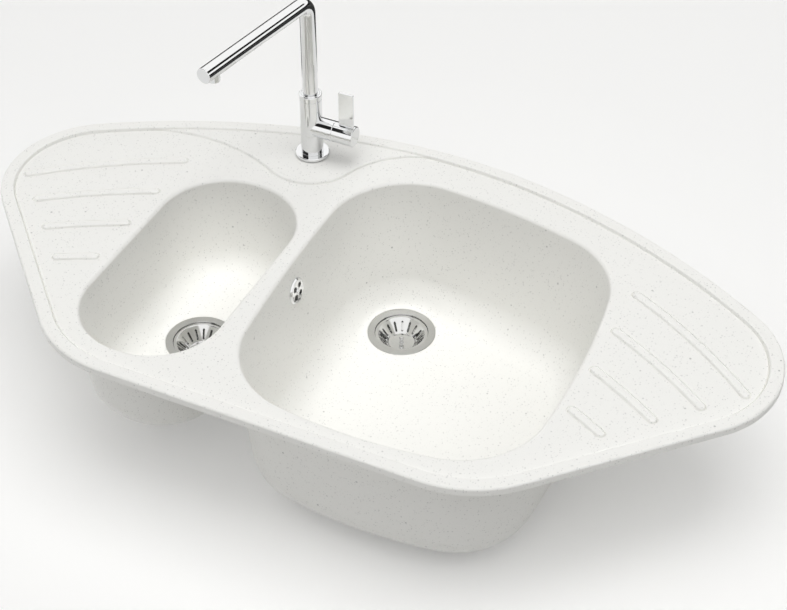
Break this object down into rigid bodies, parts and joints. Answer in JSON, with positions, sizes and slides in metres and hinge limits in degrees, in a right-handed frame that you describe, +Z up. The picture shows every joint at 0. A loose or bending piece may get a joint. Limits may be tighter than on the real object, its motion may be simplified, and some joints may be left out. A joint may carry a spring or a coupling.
{
  "type": "corner kitchen sink with mixer tap",
  "caption": "Symmetric corner kitchen sink in pale granite composite with one and a half bowls, ribbed drainers, a swivel mixer tap and lift-out strainers.",
  "frame": {"origin": "under the middle of the front rim, on the flat band that rests on the worktop", "axes": "+Z up, -Y to the person at the sink, +X to that person's right, along the straight front edge"},
  "size_m": [1.0592, 0.5648, 0.4737],
  "materials": {
    "granite_composite": "matt, fine grey speckles",
    "chrome": "polished",
    "brushed_steel": "brushed round",
    "strainer_steel": "polished and slightly worn",
    "steel": "satin",
    "brass": "turned",
    "rubber": "matt",
    "white_plastic": "moulded, satin"
  },
  "bodies": {
    "sink": {"sink_body": "granite_composite", "big_bowl_shell": "granite_composite", "small_bowl_shell": "granite_composite", "tap_base_ring": "chrome", "tap_base_gasket": "rubber", "tap_body": "chrome", "threaded_shank": "brass", "clamp_gasket": "rubber", "clamp_washer": "steel", "shank_nut": "brass", "cartridge_housing": "white_plastic", "cartridge_nut": "brass", "boss_cover": "chrome", "big_waste_cup": "brushed_steel", "big_flange_gasket": "rubber", "big_lower_gasket": "rubber", "big_locknut": "white_plastic", "small_waste_cup": "brushed_steel", "small_flange_gasket": "rubber", "small_lower_gasket": "rubber", "small_locknut": "white_plastic", "overflow_rosette": "chrome", "overflow_screw": "chrome", "overflow_gasket": "rubber", "overflow_duct": "white_plastic"},
    "spout": {"spout_insert": "brass", "spout_ring_upper": "rubber", "spout_ring_lower": "rubber", "spout_collar": "chrome", "spout_tube": "chrome", "spout_end_cap": "chrome", "aerator_shell": "chrome", "aerator_insert": "white_plastic"},
    "cartridge": {"cartridge_rotor": "white_plastic", "pivot_pin": "steel"},
    "handle": {"cartridge_stem": "brass", "lever_cap": "chrome", "lever_blade": "chrome", "cap_screw": "steel"},
    "big_strainer": {"big_basket": "strainer_steel", "big_basket_knob": "strainer_steel", "big_stopper_seal": "rubber"},
    "small_strainer": {"small_basket": "strainer_steel", "small_basket_knob": "strainer_steel", "small_stopper_seal": "rubber"}
  },
  "joints": [
    {"name": "spout_swivel", "type": "hinge", "parent": "sink", "child": "spout", "pos_m": [-0.172, 0.479, 0.0093], "axis": [0, 0, 1], "range_deg": [-180, 180]},
    {"name": "handle_turn", "type": "hinge", "parent": "sink", "child": "cartridge", "pos_m": [-0.172, 0.479, 0.0563], "axis": [1, 0, 0], "range_deg": [-45, 45]},
    {"name": "handle_tilt", "type": "hinge", "parent": "cartridge", "child": "handle", "pos_m": [-0.1485, 0.479, 0.0563], "axis": [0, 1, 0], "range_deg": [0, 25]},
    {"name": "big_strainer_lift", "type": "slide", "parent": "sink", "child": "big_strainer", "axis": [0, 0, 1], "range_m": [0, 0.22]},
    {"name": "small_strainer_lift", "type": "slide", "parent": "sink", "child": "small_strainer", "axis": [0, 0, 1], "range_m": [0, 0.17]}
  ]
}
